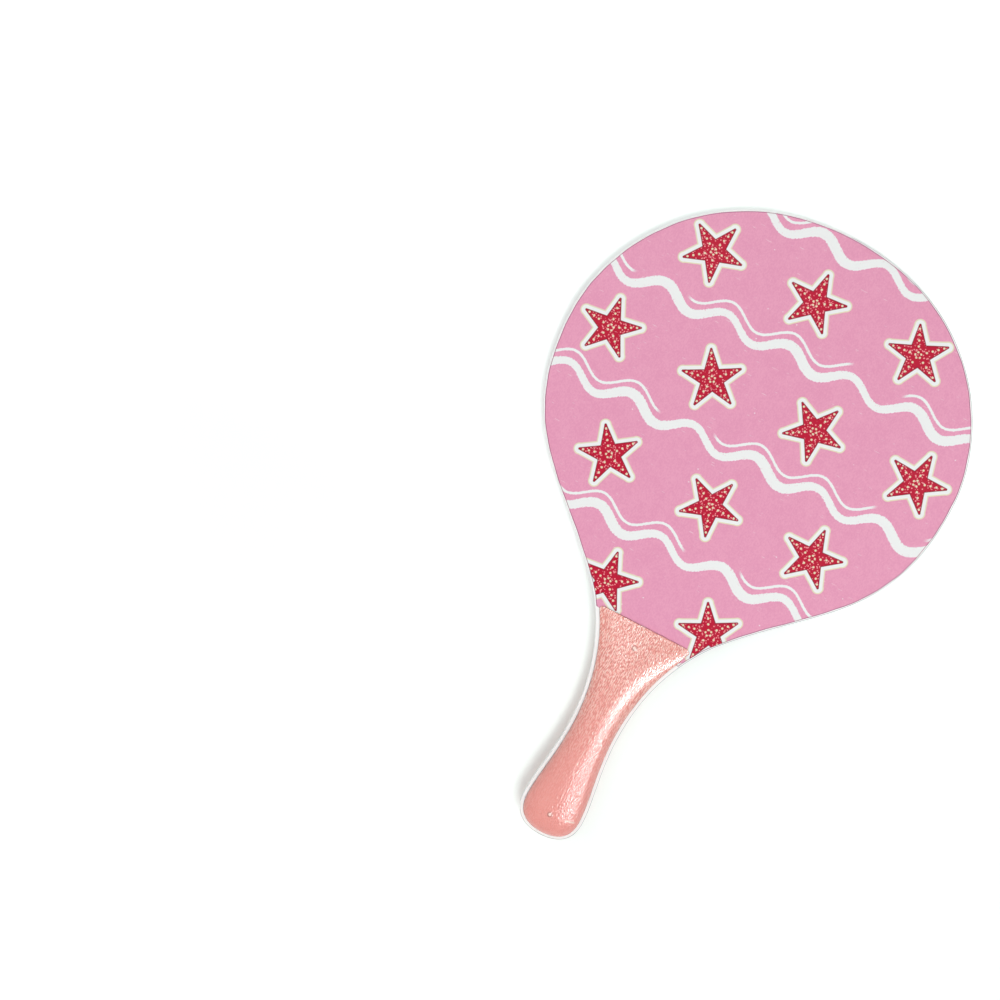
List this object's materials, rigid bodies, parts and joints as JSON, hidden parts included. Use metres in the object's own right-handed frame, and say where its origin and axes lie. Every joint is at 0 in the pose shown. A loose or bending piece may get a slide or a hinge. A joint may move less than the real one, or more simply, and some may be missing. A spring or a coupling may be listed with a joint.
{
  "type": "frescobol racket",
  "caption": "Flat wooden beach racket: plywood blade and handle in one outline, printed sheet on each face, domed wooden cheeks on the handle.",
  "frame": {"origin": "midway along the racket's length, on its centre line, level with the lowest line of the back handle cheek, as the racket lies on its back", "axes": "+Y from the butt of the handle to the tip of the blade, +X to the right across the blade seen from the front, +Z out of the front playing face"},
  "size_m": [0.241, 0.38, 0.0271],
  "materials": {
    "white_painted_plywood": "white paint, satin, brushed over the sawn edge and sanded",
    "printed_sheet": "pink printed film with white and crimson motifs, semi-gloss",
    "coral_painted_wood": "coral paint over open-pored wood, semi-gloss",
    "painted_steel_brad": "steel brad, painted over with the cheek"
  },
  "bodies": {
    "root": {"face_ply_back": "white_painted_plywood", "cross_ply_back": "white_painted_plywood", "core_ply": "white_painted_plywood", "cross_ply_front": "white_painted_plywood", "face_ply_front": "white_painted_plywood", "print_sheet_front": "printed_sheet", "print_sheet_back": "printed_sheet", "handle_cheek_front": "coral_painted_wood", "handle_cheek_back": "coral_painted_wood", "front_upper_brad": "painted_steel_brad", "front_lower_brad": "painted_steel_brad", "back_upper_brad": "painted_steel_brad", "back_lower_brad": "painted_steel_brad"}
  },
  "joints": []
}
